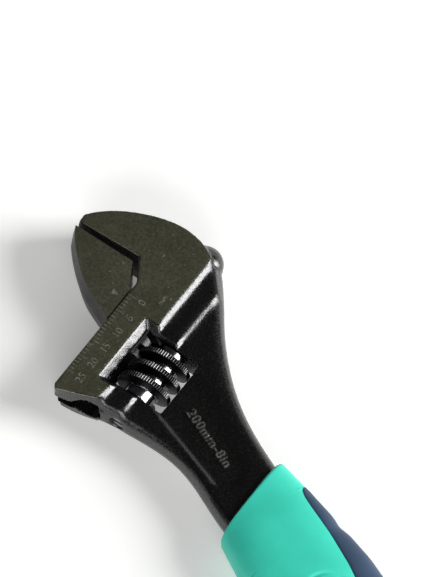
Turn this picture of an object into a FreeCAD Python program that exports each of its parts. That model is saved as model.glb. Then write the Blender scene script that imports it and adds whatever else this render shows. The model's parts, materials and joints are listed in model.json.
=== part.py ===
import FreeCAD, Part
import os
from math import cos, pi, radians, sin, tan
from FreeCAD import Placement, Rotation, Vector

# An eight-inch adjustable wrench: a forged frame with a fixed jaw, a jaw that slides in it,
# the worm that drives the jaw, and a moulded two-colour grip. Millimetres.
#
# Everything is modelled in the head frame and placed at the end. In the head frame +X points
# from the movable jaw to the fixed jaw, +Y to the jaw tips, +Z out of the ground face. X = 0 is
# the fixed jaw's face at its tip, Y = 0 is the axis of the channel that the jaw slides in, and
# Z = 0 is the parting plane of the forging.
# The finished part has its handle along Y, and rests on Z = 0 with its box centred over the origin.

# ---- Driving dimensions --------------------------------------------------------------------
HEAD_ANGLE = 22.5             # between the jaw faces and the handle
HEAD_THICKNESS = 12.0         # across the ground faces
CAPACITY = 25.0               # widest opening at the jaw tips
REST_GAP = 1.35               # opening at the jaw tips in the modelled position

JAW_DEPTH = 17.4              # tip to throat
JAW_TOE = 2.0                 # the jaws stand this many degrees wider at the throat
THROAT_RISE = 3.55            # flange edge to the start of the jaw face
THROAT_ANGLE = 30.0           # bevel between flange edge and jaw face
MOVABLE_THROAT_RAISE = 0.65   # the movable jaw's throat sits higher, clear of the fixed one
FLANGE_HEIGHT = 8.55          # channel axis to flange edge
FIXED_JAW_BACK = 13.3         # jaw face to the back of the fixed jaw, level with the flange
HEAD_REACH = 40.2             # jaw face to the outer corner of the head
MOVABLE_BASE = 16.65          # length of the movable jaw along the flange, from its face
JAW_DRAFT = 8.0               # forging draft on the outside of both jaws
END_DRAFT = 20.0              # forging draft on the outer end of the head
GRIND_STOCK = 0.6             # left on the forged jaws, and machined off their working faces

SHELF_THICKNESS = 9.6         # step between the ground faces and the web
WEB_THICKNESS = 7.6           # web and handle
PANEL_DEPTH = 0.7             # recessed panel on each side of the handle
STEP_SLOPE = 1.0              # run of each sloping step
GROUND_EDGE = -2.6            # where the ground face ends, measured from the channel axis
SHELF_EDGE = -8.6             # where the shelf ends

RACK_RADIUS = 3.9
RACK_OUTER_OVERHANG = 2.6     # rack beyond the movable jaw's base, at the mouth end
RACK_INNER_REACH = 8.6        # rack beyond the fixed jaw's face, under the fixed jaw
STEM_THICKNESS = 4.0          # neck between rack and jaw
SLIDE_CLEARANCE = 0.12        # all round the rack, the stem and under the jaw
BORE_END_SPACE = 1.1          # left in front of the rack when the jaw is shut
BARREL_WALL = 0.8             # wall of the channel's barrel where it stands proud as a lug

WORM_RADIUS = 6.75
WORM_LENGTH = 15.4
WORM_PITCH = 4.0              # one turn moves the jaw this far
WORM_CENTRE = -21.7
WORM_OUTER_HUB = 2.3          # plain ends of the worm, without thread
WORM_INNER_HUB = 1.1
THREAD_DEPTH = 2.85
THREAD_CREST = 1.3
THREAD_FLANK = 14.5
CREST_AT_TOP = -21.5          # where a crest passes the top of the worm at rest
MESH_GAP = 0.3                # rack tips to worm root, and worm crest to rack root
FLANK_GAP = 0.15
WINDOW_PLAY = 0.2             # at each end of the worm
WINDOW_LIP = 0.8              # channel axis to the window's edge
WINDOW_REAR_GAP = 1.15        # behind the worm
WINDOW_CHAMFER = 2.0

AXLE_RADIUS = 1.95
AXLE_IN_BODY = 0.05
AXLE_IN_WORM = 0.08
AXLE_RECESS = 1.4             # head end sunk below the end of the frame
AXLE_GRIP_LENGTH = 7.5        # threaded length beyond the window
AXLE_SLOT_WIDTH = 0.8
AXLE_SLOT_DEPTH = 1.0
SPRING_WIRE = 0.6
SPRING_RADIUS = 2.65
SPRING_POCKET_RADIUS = 3.15
SPRING_POCKET_DEPTH = 6.0
SPRING_TURNS = 5

HANDLE_ORIGIN = Vector(-22.35, -17.1, 0)   # a point of the handle's axis
HANDLE_REACH = 152.0          # from there to the end of the grip
TANG_HALF_WIDTH = 9.3
TANG_END_GAP = 6.0            # moulded stock beyond the steel
GRIP_START = -47.5            # the grip's front edge runs across at this Y
GRIP_HALF_THICKNESS = 8.2
GRIP_HALF_WIDTH = 15.2
INLAY_DEPTH = 1.8
INLAY_LENGTH = 96.0
INLAY_START_RIGHT = 37.5      # along the handle from its origin
INLAY_START_LEFT = 48.5
HANG_HOLE_RADIUS = 4.0
HANG_HOLE_WALL = 2.0          # moulded lining between the hole and the steel
HANG_HOLE_FROM_END = 12.0

# ---- Derived places ------------------------------------------------------------------------
HEAD_HALF = HEAD_THICKNESS / 2
SHELF_HALF = SHELF_THICKNESS / 2
WEB_HALF = WEB_THICKNESS / 2
THROAT_Y = FLANGE_HEIGHT + THROAT_RISE
TIP_Y = THROAT_Y + JAW_DEPTH
CLOSING_TRAVEL = REST_GAP
OPENING_TRAVEL = CAPACITY - REST_GAP
WORM_ROOT = WORM_RADIUS - THREAD_DEPTH
WORM_Y = -(RACK_RADIUS + MESH_GAP + WORM_ROOT)
WORM_OUTER_X = WORM_CENTRE - WORM_LENGTH / 2
WORM_INNER_X = WORM_CENTRE + WORM_LENGTH / 2
WINDOW_OUTER_X = WORM_OUTER_X - WINDOW_PLAY
WINDOW_INNER_X = WORM_INNER_X + WINDOW_PLAY
WINDOW_REAR_Y = WORM_Y - WORM_RADIUS - WINDOW_REAR_GAP
MOVABLE_FACE_X = -REST_GAP
MOVABLE_BASE_X = MOVABLE_FACE_X - MOVABLE_BASE
RACK_OUTER_X = MOVABLE_BASE_X - RACK_OUTER_OVERHANG
CHANNEL_RADIUS = RACK_RADIUS + SLIDE_CLEARANCE
CHANNEL_END_X = RACK_INNER_REACH + CLOSING_TRAVEL + BORE_END_SPACE
BARREL_RADIUS = CHANNEL_RADIUS + BARREL_WALL
STEM_HALF = STEM_THICKNESS / 2
FAR = 300.0


# ---- Small helpers -------------------------------------------------------------------------
def from_handle(x, y, z=0.0):
    """Head-frame point of a point given across (x) and along (y, towards the head) the handle."""
    turn = radians(HEAD_ANGLE)
    return HANDLE_ORIGIN + Vector(x * cos(turn) + y * sin(turn), y * cos(turn) - x * sin(turn), z)


def line(*points):
    """Straight runs through the points."""
    return [Part.makeLine(a, b) for a, b in zip(points, points[1:])]


def curve(*points):
    """One smooth curve through the points."""
    spline = Part.BSplineCurve()
    spline.interpolate(list(points))
    return [spline.toShape()]


def pushed(points, distance):
    """The points of an open outline, each moved to the left of its run by distance."""
    moved = []
    for index, point in enumerate(points):
        before = points[max(index - 1, 0)]
        after = points[min(index + 1, len(points) - 1)]
        run = after.sub(before).normalize()
        moved.append(point + Vector(-run.y, run.x, 0) * distance)
    return moved


def raised(points, z):
    return [Vector(p.x, p.y, z) for p in points]


def both_sides(half):
    """A half forging joined with its mirror image below the parting plane."""
    return half.fuse(half.mirror(Vector(0, 0, 0), Vector(0, 0, 1))).removeSplitter()


def prism(points, low, high):
    """A straight prism on a polygon."""
    ring = raised(points, low)
    face = Part.Face(Part.Wire(line(*ring, ring[0])))
    return face.extrude(Vector(0, 0, high - low))


def rod(radius, x_low, x_high, y=0.0):
    """A cylinder parallel to the slide."""
    return Part.makeCylinder(radius, x_high - x_low, Vector(x_low, y, 0), Vector(1, 0, 0))


# ---- Jaw and head outlines -----------------------------------------------------------------
def jaw_spread(z):
    """How far the drafted outside of a jaw stands out at height z."""
    return (HEAD_HALF - z) * tan(radians(JAW_DRAFT))


def fixed_working_edge():
    """Flange edge, throat bevel and jaw face of the fixed jaw, run on past both ends."""
    toe_shift = JAW_DEPTH * tan(radians(JAW_TOE))
    bevel_run = THROAT_RISE / tan(radians(THROAT_ANGLE))
    return [
        Vector(-FAR, FLANGE_HEIGHT, 0), Vector(toe_shift - bevel_run, FLANGE_HEIGHT, 0),
        Vector(toe_shift, THROAT_Y, 0), Vector(-toe_shift, TIP_Y + JAW_DEPTH, 0),
    ]


def movable_working_edge():
    """Seat on the flange, throat bevel and jaw face of the movable jaw, run on past both ends."""
    seat = FLANGE_HEIGHT + SLIDE_CLEARANCE
    throat_y = THROAT_Y + MOVABLE_THROAT_RAISE
    bevel_run = (throat_y - seat) / tan(radians(THROAT_ANGLE))
    return [
        Vector(-FAR, seat, 0), Vector(MOVABLE_FACE_X - bevel_run, seat, 0),
        Vector(MOVABLE_FACE_X, throat_y, 0), Vector(MOVABLE_FACE_X, TIP_Y + JAW_DEPTH, 0),
    ]


def head_outline(z):
    """Outline of the forged head, with its fixed jaw, at height z."""
    spread = jaw_spread(z)
    end_spread = (HEAD_HALF - z) * tan(radians(END_DRAFT))
    edge = raised(pushed(fixed_working_edge(), GRIND_STOCK), z)
    heel = edge[1]
    throat = edge[2]
    tip = Vector(-GRIND_STOCK, TIP_Y + spread, z)
    flange_end = Vector(-HEAD_REACH + 3.0, heel.y, z)
    corner = Vector(-HEAD_REACH, FLANGE_HEIGHT - 0.9, z)
    end_middle = Vector(-HEAD_REACH + 1.3 - 0.45 * end_spread, 4.2, z)
    end_foot = Vector(-HEAD_REACH + 4.1 - end_spread, GROUND_EDGE, z)
    back_foot = Vector(FIXED_JAW_BACK - 3.3 + spread, GROUND_EDGE, z)
    back = [
        back_foot,
        Vector(FIXED_JAW_BACK - 0.6 + spread, 2.8, z),
        Vector(FIXED_JAW_BACK + spread, FLANGE_HEIGHT - 0.3, z),
        Vector(FIXED_JAW_BACK - 2.0 + spread, THROAT_Y + 0.27 * JAW_DEPTH, z),
        Vector(9.3 + 0.9 * spread, THROAT_Y + 0.52 * JAW_DEPTH + 0.3 * spread, z),
        Vector(5.1 + 0.6 * spread, TIP_Y - 2.4 + 0.8 * spread, z),
        Vector(2.2 + 0.4 * spread, TIP_Y + 0.15 + spread, z),
    ]
    edges = line(tip, throat, heel, flange_end)
    edges += curve(flange_end, flange_end + Vector(-1.7, -0.6, 0), corner)
    edges += line(corner, end_middle, end_foot, back_foot)
    edges += curve(*back)
    edges += line(back[-1], tip)
    return Part.Wire(edges)


def movable_outline(z):
    """Outline of the movable jaw above the flange, at height z."""
    spread = jaw_spread(z)
    seat = FLANGE_HEIGHT + SLIDE_CLEARANCE
    edge = raised(pushed(movable_working_edge(), -GRIND_STOCK), z)
    heel = edge[1]
    throat = edge[2]
    tip = Vector(throat.x, TIP_Y + 0.45 + spread, z)
    base = Vector(MOVABLE_BASE_X - spread, heel.y, z)
    back = [
        Vector(MOVABLE_BASE_X + 2.3 - spread, seat + 3.3, z),
        Vector(MOVABLE_BASE_X + 4.8 - 0.9 * spread, seat + 8.9 + 0.3 * spread, z),
        Vector(MOVABLE_BASE_X + 8.9 - 0.8 * spread, seat + 14.5 + 0.6 * spread, z),
        Vector(MOVABLE_FACE_X - 2.35 - 0.6 * spread, TIP_Y - 1.2 + 0.9 * spread, z),
    ]
    edges = line(tip, throat, heel, base)
    edges += curve(base, *back)
    edges += line(back[-1], tip)
    return Part.Wire(edges)


def machined_off(edge, side):
    """Cutter for the stock beyond a working edge: side is 1 for what lies to its left, -1 for its right."""
    start = edge[0] + Vector(0, side * FAR, 0)
    corner = Vector(FAR, -FAR, 0) if side < 0 else Vector(-FAR, FAR, 0)
    end = edge[-1] + Vector(-side * FAR, 0, 0)
    return prism(edge + [end, corner, start], -FAR, FAR)


# ---- Frame ---------------------------------------------------------------------------------
LEFT_EDGE = [
    Vector(-38.3, -1.0, 0), Vector(-37.5, -8.1, 0), Vector(-37.2, -15.3, 0), Vector(-37.4, -24.3, 0),
    Vector(-38.5, -29.3, 0), Vector(-41.4, -36.5, 0), from_handle(-10.3, -35.9),
]
RIGHT_EDGE = [
    from_handle(9.6, -36.0), from_handle(9.5, -26.3), Vector(-16.1, -30.6, 0), Vector(-8.4, -21.2, 0),
    Vector(-1.6, -15.0, 0), Vector(9.1, -6.6, 0), Vector(11.6, -3.9, 0), Vector(12.3, 1.0, 0),
]


def handle_outline(z, inset):
    """Outline of web and tang at height z, drawn in from the parting line by inset."""
    tang_end = -(HANDLE_REACH - TANG_END_GAP)
    left = pushed(LEFT_EDGE, inset)
    right = pushed(RIGHT_EDGE, inset)
    half = TANG_HALF_WIDTH - inset
    left_shoulder = from_handle(-half, -46.0)
    right_shoulder = from_handle(half, -46.0)
    left_end = from_handle(-half, tang_end + TANG_HALF_WIDTH)
    right_end = from_handle(half, tang_end + TANG_HALF_WIDTH)
    tang_tip = from_handle(0, tang_end + inset)
    edges = curve(*left)
    edges += line(left[-1], left_shoulder, left_end)
    edges.append(Part.Arc(left_end, tang_tip, right_end).toShape())
    edges += line(right_end, right_shoulder, right[0])
    edges += curve(*right)
    edges += line(right[-1], left[0])
    outline = Part.Wire(edges)
    outline.translate(Vector(0, 0, z))
    return outline


def web():
    """Handle, web and tang, with rounded forged sides."""
    rings = [handle_outline(0, 0), handle_outline(WEB_HALF - 1.6, 0.5), handle_outline(WEB_HALF, 1.9)]
    return both_sides(Part.makeLoft(rings, True, True))


def shelf():
    """The thicker stretch round the worm, between the ground faces and the web."""
    def ring(z, inset):
        fallen = min(1.0, (SHELF_HALF - z) / (SHELF_HALF - WEB_HALF))
        foot = SHELF_EDGE - STEP_SLOPE * fallen
        points = [
            Vector(-38.1 + 1.9 * inset, 2.0, z), Vector(-37.9 + inset, -3.6, z),
            Vector(-37.15 + inset, foot, z), Vector(5.2 - inset, foot, z),
            Vector(11.0 - inset, -4.2, z), Vector(11.8 - inset, 2.0, z),
        ]
        return Part.Wire(line(*points, points[0]))
    lower = WEB_HALF - 0.2
    full = SHELF_HALF * tan(radians(END_DRAFT))
    part_way = full * (lower / SHELF_HALF)
    rings = [ring(0, 0), ring(lower, part_way), ring(SHELF_HALF, full)]
    return both_sides(Part.makeLoft(rings, True, True))


def ground_step():
    """The slope from the ground face down to the shelf."""
    top = GROUND_EDGE + 0.5
    foot = GROUND_EDGE - STEP_SLOPE
    profile = [
        Vector(0, top, SHELF_HALF - 0.5), Vector(0, foot, SHELF_HALF - 0.5), Vector(0, foot, SHELF_HALF),
        Vector(0, GROUND_EDGE, HEAD_HALF), Vector(0, top, HEAD_HALF),
    ]
    outer = -HEAD_REACH + 4.3
    inner = FIXED_JAW_BACK - 3.5
    ring = [p + Vector(outer, 0, 0) for p in profile]
    face = Part.Face(Part.Wire(line(*ring, ring[0])))
    return both_sides(face.extrude(Vector(inner - outer, 0, 0)))


def lug():
    """Rounded end of the channel's barrel, which stands out behind the fixed jaw."""
    centre_x = CHANNEL_END_X - 0.6
    dome = Part.makeSphere(BARREL_RADIUS, Vector(centre_x, 0, 0))
    return rod(BARREL_RADIUS, 2.0, centre_x).fuse(dome)


def panel_cutter():
    """Tongue-shaped recess in the handle's faces, open to the window, with sloping sides."""
    inside_window = WINDOW_REAR_Y + 2.0

    def ring(z, grow):
        points = [
            Vector(-15.6 + grow, inside_window, z), Vector(-29.4 - grow, inside_window, z),
            Vector(-37.6 - grow, -38.5, z), Vector(-35.0, -42.6 - grow, z),
            Vector(-30.6 + grow, -41.0 - grow, z), Vector(-19.1 + grow, -23.9, z),
        ]
        return Part.Wire(line(*points, points[0]))
    bottom = WEB_HALF - PANEL_DEPTH
    top = WEB_HALF + 0.5
    cutter = Part.makeLoft([ring(bottom, 0), ring(top, 1.2)], True, True)
    return cutter


def window_cutter():
    """The opening for the worm, with chamfers on the sides towards the jaw and the frame's end."""
    box = prism([
        Vector(WINDOW_OUTER_X, WINDOW_REAR_Y, 0), Vector(WINDOW_INNER_X, WINDOW_REAR_Y, 0),
        Vector(WINDOW_INNER_X, -WINDOW_LIP, 0), Vector(WINDOW_OUTER_X, -WINDOW_LIP, 0),
    ], -FAR, FAR)

    def ring(z, grow):
        foot = SHELF_EDGE - 0.4
        points = [
            Vector(WINDOW_OUTER_X - grow, foot, z), Vector(WINDOW_INNER_X + grow, foot, z),
            Vector(WINDOW_INNER_X + grow, -WINDOW_LIP + grow, z),
            Vector(WINDOW_OUTER_X - grow, -WINDOW_LIP + grow, z),
        ]
        return Part.Wire(line(*points, points[0]))
    depth = WINDOW_CHAMFER * 1.15
    above = 0.5
    grow_above = WINDOW_CHAMFER * (1 + above / depth)
    flare = Part.makeLoft([ring(HEAD_HALF - depth, 0), ring(HEAD_HALF + above, grow_above)], True, True)
    return box.fuse(both_sides_pair(flare))


def both_sides_pair(half):
    """A cutter and its mirror image, which don't touch."""
    return Part.makeCompound([half, half.mirror(Vector(0, 0, 0), Vector(0, 0, 1))])


def channel_cutter():
    """Keyhole channel: a bore for the rack, and a slot for the stem that ends under the throat."""
    bore = rod(CHANNEL_RADIUS, -FAR, CHANNEL_END_X)
    slot_end = STEM_INNER_X + CLOSING_TRAVEL + BORE_END_SPACE
    half = STEM_HALF + SLIDE_CLEARANCE
    slot = Part.makeBox(slot_end + FAR, FLANGE_HEIGHT + 5, 2 * half, Vector(-FAR, 0, -half))
    return bore.fuse(slot)


STEM_OUTER_X = MOVABLE_BASE_X - 1.3
STEM_INNER_X = movable_working_edge()[1].x
FRAME_END_X = -37.6           # outer end of the frame, level with the axle
AXLE_OUTER_X = FRAME_END_X + AXLE_RECESS
AXLE_INNER_X = WINDOW_INNER_X + AXLE_GRIP_LENGTH


def wrench_body():
    head = both_sides(Part.makeLoft([head_outline(0), head_outline(HEAD_HALF)], True, True))
    head = head.cut(machined_off(fixed_working_edge(), 1))
    body = head.fuse([ground_step(), shelf(), web(), lug()])
    axle_hole = rod(AXLE_RADIUS + AXLE_IN_BODY, -FAR, AXLE_INNER_X + 0.3, WORM_Y)
    hang = from_handle(0, -(HANDLE_REACH - HANG_HOLE_FROM_END))
    hang_hole = Part.makeCylinder(HANG_HOLE_RADIUS + HANG_HOLE_WALL, 2 * FAR, hang - Vector(0, 0, FAR))
    cutters = [channel_cutter(), window_cutter(), axle_hole, hang_hole, both_sides_pair(panel_cutter())]
    for cutter in cutters:
        body = body.cut(cutter)
    return body.removeSplitter()


# ---- Movable jaw ---------------------------------------------------------------------------
def rack_grooves():
    """Straight grooves across the rack, leaning with the worm's thread."""
    mean_radius = WORM_RADIUS - THREAD_DEPTH / 2
    lean = WORM_PITCH / (2 * pi * mean_radius)
    slope = tan(radians(THREAD_FLANK))
    bottom = WORM_RADIUS + MESH_GAP
    mouth = WORM_ROOT
    bottom_half = THREAD_CREST / 2 + FLANK_GAP - MESH_GAP * slope
    mouth_half = THREAD_CREST / 2 + FLANK_GAP + (WORM_RADIUS - mouth) * slope
    reach = HEAD_HALF
    first = CREST_AT_TOP - WORM_PITCH / 4
    grooves = []
    count = int((RACK_INNER_REACH - RACK_OUTER_X) / WORM_PITCH) + 3
    start = int((RACK_OUTER_X - first) / WORM_PITCH) - 1
    for turn in range(start, start + count):
        x = first + turn * WORM_PITCH - lean * reach
        ring = [
            Vector(x - bottom_half, WORM_Y + bottom, -reach), Vector(x + bottom_half, WORM_Y + bottom, -reach),
            Vector(x + mouth_half, WORM_Y + mouth, -reach), Vector(x - mouth_half, WORM_Y + mouth, -reach),
        ]
        face = Part.Face(Part.Wire(line(*ring, ring[0])))
        grooves.append(face.extrude(Vector(2 * reach * lean, 0, 2 * reach)))
    return grooves


def movable_jaw():
    jaw = both_sides(Part.makeLoft([movable_outline(0), movable_outline(HEAD_HALF)], True, True))
    jaw = jaw.cut(machined_off(movable_working_edge(), -1))
    stem_height = FLANGE_HEIGHT + SLIDE_CLEARANCE + 1.0
    stem = Part.makeBox(STEM_INNER_X - STEM_OUTER_X, stem_height, STEM_THICKNESS,
                        Vector(STEM_OUTER_X, 0, -STEM_HALF))
    rack = rod(RACK_RADIUS, RACK_OUTER_X, RACK_INNER_REACH)
    for groove in rack_grooves():
        rack = rack.cut(groove)
    return jaw.fuse([stem, rack]).removeSplitter()


# ---- Worm, spring and axle -----------------------------------------------------------------
def worm():
    """Knurled adjusting worm with a right-hand thread, pocketed for its spring."""
    slope = tan(radians(THREAD_FLANK))
    crest_half = THREAD_CREST / 2
    sunk = 0.3
    foot_half = crest_half + (THREAD_DEPTH + sunk) * slope
    turns = int(WORM_LENGTH / WORM_PITCH) + 3
    helix = Part.makeHelix(WORM_PITCH, turns * WORM_PITCH, WORM_ROOT)
    ring = [
        Vector(WORM_ROOT - sunk, 0, -foot_half), Vector(WORM_RADIUS, 0, -crest_half),
        Vector(WORM_RADIUS, 0, crest_half), Vector(WORM_ROOT - sunk, 0, foot_half),
    ]
    profile = Part.Wire(line(*ring, ring[0]))
    thread = Part.Wire(helix).makePipeShell([profile], True, True)
    # The helix climbs +Z from +X. Laid along -X with its start at the top of the worm, and
    # moved so that a crest passes the top at CREST_AT_TOP.
    thread.Placement = Placement(Vector(), Rotation(Vector(0, 0, 1), Vector(-1, 0, 0)))
    start = thread_start(thread)
    shift = CREST_AT_TOP + int(turns / 2) * WORM_PITCH - start
    thread.translate(Vector(shift, WORM_Y, 0))
    threaded_outer_x = WORM_OUTER_X + WORM_OUTER_HUB
    threaded_inner_x = WORM_INNER_X - WORM_INNER_HUB
    threaded = rod(WORM_RADIUS + 1, threaded_outer_x, threaded_inner_x, WORM_Y)
    core = rod(WORM_ROOT, WORM_OUTER_X, WORM_INNER_X, WORM_Y)
    body = core.fuse(thread.common(threaded))
    body = body.cut(rod(AXLE_RADIUS + AXLE_IN_WORM, -FAR, FAR, WORM_Y))
    pocket = rod(SPRING_POCKET_RADIUS, WORM_OUTER_X - 1, WORM_OUTER_X + SPRING_POCKET_DEPTH, WORM_Y)
    return body.cut(pocket)


def thread_start(thread):
    """X at which the laid-down thread's first crest passes the top of the worm."""
    probe = Part.makeLine(Vector(-FAR, 0, WORM_RADIUS - 0.05), Vector(FAR, 0, WORM_RADIUS - 0.05))
    crossings = sorted(e.CenterOfMass.x for e in thread.common(probe).Edges)
    return crossings[-1]


def worm_spring():
    """Light compression spring round the axle, in the worm's pocket."""
    length = SPRING_POCKET_DEPTH + WINDOW_PLAY - 0.1 - SPRING_WIRE
    pitch = length / SPRING_TURNS
    helix = Part.makeHelix(pitch, length, SPRING_RADIUS)
    section = Part.Wire(Part.makeCircle(SPRING_WIRE / 2, Vector(SPRING_RADIUS, 0, 0), Vector(0, 1, 0)))
    coil = Part.Wire(helix).makePipeShell([section], True, True)
    coil.Placement = Placement(Vector(), Rotation(Vector(0, 0, 1), Vector(1, 0, 0)))
    coil.translate(Vector(WINDOW_OUTER_X + 0.05 + SPRING_WIRE / 2, WORM_Y, 0))
    return coil


def axle_screw():
    """Plain axle with a screwdriver slot, held in the frame at both ends of the window."""
    shank = rod(AXLE_RADIUS, AXLE_OUTER_X, AXLE_INNER_X, WORM_Y)
    slot = Part.makeBox(AXLE_SLOT_DEPTH, 4 * AXLE_RADIUS, AXLE_SLOT_WIDTH,
                        Vector(AXLE_OUTER_X, WORM_Y - 2 * AXLE_RADIUS, -AXLE_SLOT_WIDTH / 2))
    return shank.cut(slot)


# ---- Grip ----------------------------------------------------------------------------------
def grip_section(along, half_width, half_thickness):
    """Closed cross-section of the grip, flat-backed with full sides, at a place along the handle."""
    power = 0.62
    count = 16
    points = []
    for index in range(count):
        angle = 2 * pi * index / count
        across = half_width * abs(cos(angle)) ** power * (1 if cos(angle) >= 0 else -1)
        up = half_thickness * abs(sin(angle)) ** power * (1 if sin(angle) >= 0 else -1)
        points.append(from_handle(across, -along, up))
    spline = Part.BSplineCurve()
    spline.interpolate(Points=points, PeriodicFlag=True)
    return Part.Wire([spline.toShape()])


# along the handle as a share of its reach, width and thickness as shares of the fullest section
GRIP_STATIONS = [
    (0.13, 0.69, 0.62), (0.22, 0.75, 0.74), (0.28, 0.84, 0.86), (0.33, 0.88, 0.93), (0.40, 1.00, 1.00),
    (0.50, 0.98, 1.00), (0.62, 0.93, 0.98), (0.74, 0.95, 0.98), (0.86, 1.02, 1.00), (0.94, 0.94, 0.93),
    (0.98, 0.72, 0.78), (1.00, 0.40, 0.50),
]


def grip_form(shrink):
    """The whole moulded form, shrunk all round by a wall."""
    sections = []
    for share, wide, thick in GRIP_STATIONS:
        along = share * HANDLE_REACH
        if share == 1.0:
            along -= shrink
        sections.append(grip_section(along, wide * GRIP_HALF_WIDTH - shrink,
                                     thick * GRIP_HALF_THICKNESS - shrink))
    form = Part.makeLoft(sections, True, False)
    front = Part.makeBox(2 * FAR, FAR, 2 * FAR, Vector(-FAR, GRIP_START, -FAR))
    return form.cut(front)


def inlay_outline(side, start):
    """Leaf-shaped plan of a side inlay. side is 1 on the right and -1 on the left."""
    end = start + INLAY_LENGTH
    inner = [
        from_handle(side * 11.6, -(start - 0.6)), from_handle(side * 9.7, -(start + 4.5)),
        from_handle(side * 9.3, -(start + 13)), from_handle(side * 7.9, -(start + 27)),
        from_handle(side * 7.4, -(start + 0.5 * INLAY_LENGTH)), from_handle(side * 8.8, -(end - 16)),
        from_handle(side * 12.4, -end),
    ]
    out_end = from_handle(side * 30, -end)
    out_start = from_handle(side * 30, -(start - 0.6))
    return Part.Wire(curve(*inner) + line(inner[-1], out_end, out_start, inner[0]))


def inlay(side, start):
    """Hard-wearing second-colour inlay let into one side of the grip."""
    plan = Part.Face(inlay_outline(side, start))
    column = plan.extrude(Vector(0, 0, 2 * FAR))
    column.translate(Vector(0, 0, -FAR))
    return GRIP_OUTER.cut(GRIP_INNER).common(column)


def grip_shell(body, inlays):
    hang = from_handle(0, -(HANDLE_REACH - HANG_HOLE_FROM_END))
    hole = Part.makeCylinder(HANG_HOLE_RADIUS, 2 * FAR, hang - Vector(0, 0, FAR))
    shell = GRIP_OUTER.cut(web())
    lining = Part.makeCylinder(HANG_HOLE_RADIUS + HANG_HOLE_WALL, 2 * WEB_HALF, hang - Vector(0, 0, WEB_HALF))
    shell = shell.fuse(lining).cut(hole)
    for piece in inlays:
        shell = shell.cut(piece)
    return shell


# ---- Build and place -----------------------------------------------------------------------
GRIP_OUTER = grip_form(0)
GRIP_INNER = grip_form(INLAY_DEPTH)
frame_body = wrench_body()
inlay_right = inlay(1, INLAY_START_RIGHT)
inlay_left = inlay(-1, INLAY_START_LEFT)
nodes = {
    "wrench_body": frame_body,
    "movable_jaw": movable_jaw(),
    "worm": worm(),
    "worm_spring": worm_spring(),
    "axle_screw": axle_screw(),
    "grip_shell": grip_shell(frame_body, [inlay_right, inlay_left]),
    "grip_inlay_right": inlay_right,
    "grip_inlay_left": inlay_left,
}

turn = Placement(Vector(), Rotation(Vector(0, 0, 1), HEAD_ANGLE))
everything = Part.makeCompound([shape.copy() for shape in nodes.values()])
everything.Placement = turn
box = everything.optimalBoundingBox(False)
shift = Vector(-(box.XMin + box.XMax) / 2, -(box.YMin + box.YMax) / 2, -box.ZMin)
place = Placement(shift, Rotation(Vector(0, 0, 1), HEAD_ANGLE))

os.makedirs("parts", exist_ok=True)
for name, shape in nodes.items():
    placed = shape.copy()
    placed.Placement = place.multiply(placed.Placement)
    placed.exportStep(f"parts/{name}.step")
    print(name, "valid", placed.isValid(), "solids", len(placed.Solids), "volume", round(placed.Volume, 1))

print("box", [round(v, 3) for v in (box.XLength, box.YLength, box.ZLength)])
print("shift", [round(v, 4) for v in shift])
hang_hole = from_handle(0, -(HANDLE_REACH - HANG_HOLE_FROM_END))
fixed_face = Vector(JAW_DEPTH / 2 * tan(radians(JAW_TOE)), THROAT_Y + JAW_DEPTH / 2, 0)
places = {
    "worm axis": Vector(WORM_CENTRE, WORM_Y, 0), "channel": Vector(0, 0, 0),
    "fixed jaw face": fixed_face, "movable jaw face": Vector(MOVABLE_FACE_X, THROAT_Y + JAW_DEPTH / 2, 0),
    "flange": Vector(-26.0, FLANGE_HEIGHT, 0), "hang hole": hang_hole, "handle origin": HANDLE_ORIGIN,
}
for label, point in places.items():
    print(label, [round(v, 3) for v in place.multVec(point)])
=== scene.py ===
# %% [markdown]
# # An adjustable wrench
# A drop-forged frame with a fixed jaw, a jaw that slides in it, a knurled worm that drives the
# jaw, and a moulded two-colour grip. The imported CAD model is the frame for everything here: it
# gives the places, and each visible piece rides on the CAD body that it belongs to.

# %% Load the frame
import json
import math
import bpy
import bmesh
import numpy as np
from mathutils import Matrix, Vector


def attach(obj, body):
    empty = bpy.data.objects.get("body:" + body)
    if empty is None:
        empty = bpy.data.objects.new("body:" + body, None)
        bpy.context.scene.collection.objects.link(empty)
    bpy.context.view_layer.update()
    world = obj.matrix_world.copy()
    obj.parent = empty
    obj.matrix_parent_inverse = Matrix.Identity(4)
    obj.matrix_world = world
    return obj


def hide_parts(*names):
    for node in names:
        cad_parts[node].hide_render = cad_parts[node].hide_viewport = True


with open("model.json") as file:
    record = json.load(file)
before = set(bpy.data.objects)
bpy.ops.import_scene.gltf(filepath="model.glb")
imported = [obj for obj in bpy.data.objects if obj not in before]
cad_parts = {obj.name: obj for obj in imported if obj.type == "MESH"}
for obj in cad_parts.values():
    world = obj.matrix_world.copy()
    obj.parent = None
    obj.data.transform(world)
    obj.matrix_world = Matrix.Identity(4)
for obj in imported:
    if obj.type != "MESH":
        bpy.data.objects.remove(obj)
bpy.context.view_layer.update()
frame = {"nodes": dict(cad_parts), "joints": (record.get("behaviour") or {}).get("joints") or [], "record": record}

MM = 0.001

# %% [markdown]
# ## Two handy frames of reference
# The head leans to one side of the handle, so its features are easiest to place in a frame of
# their own: X across the jaws, Y to the jaw tips, origin on the axis of the channel that the jaw
# slides in. The joints give it: the slide's axis is the head's -X, and the worm sits at a known
# place. The grip is placed along the handle, whose line passes through the hang hole.

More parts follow.
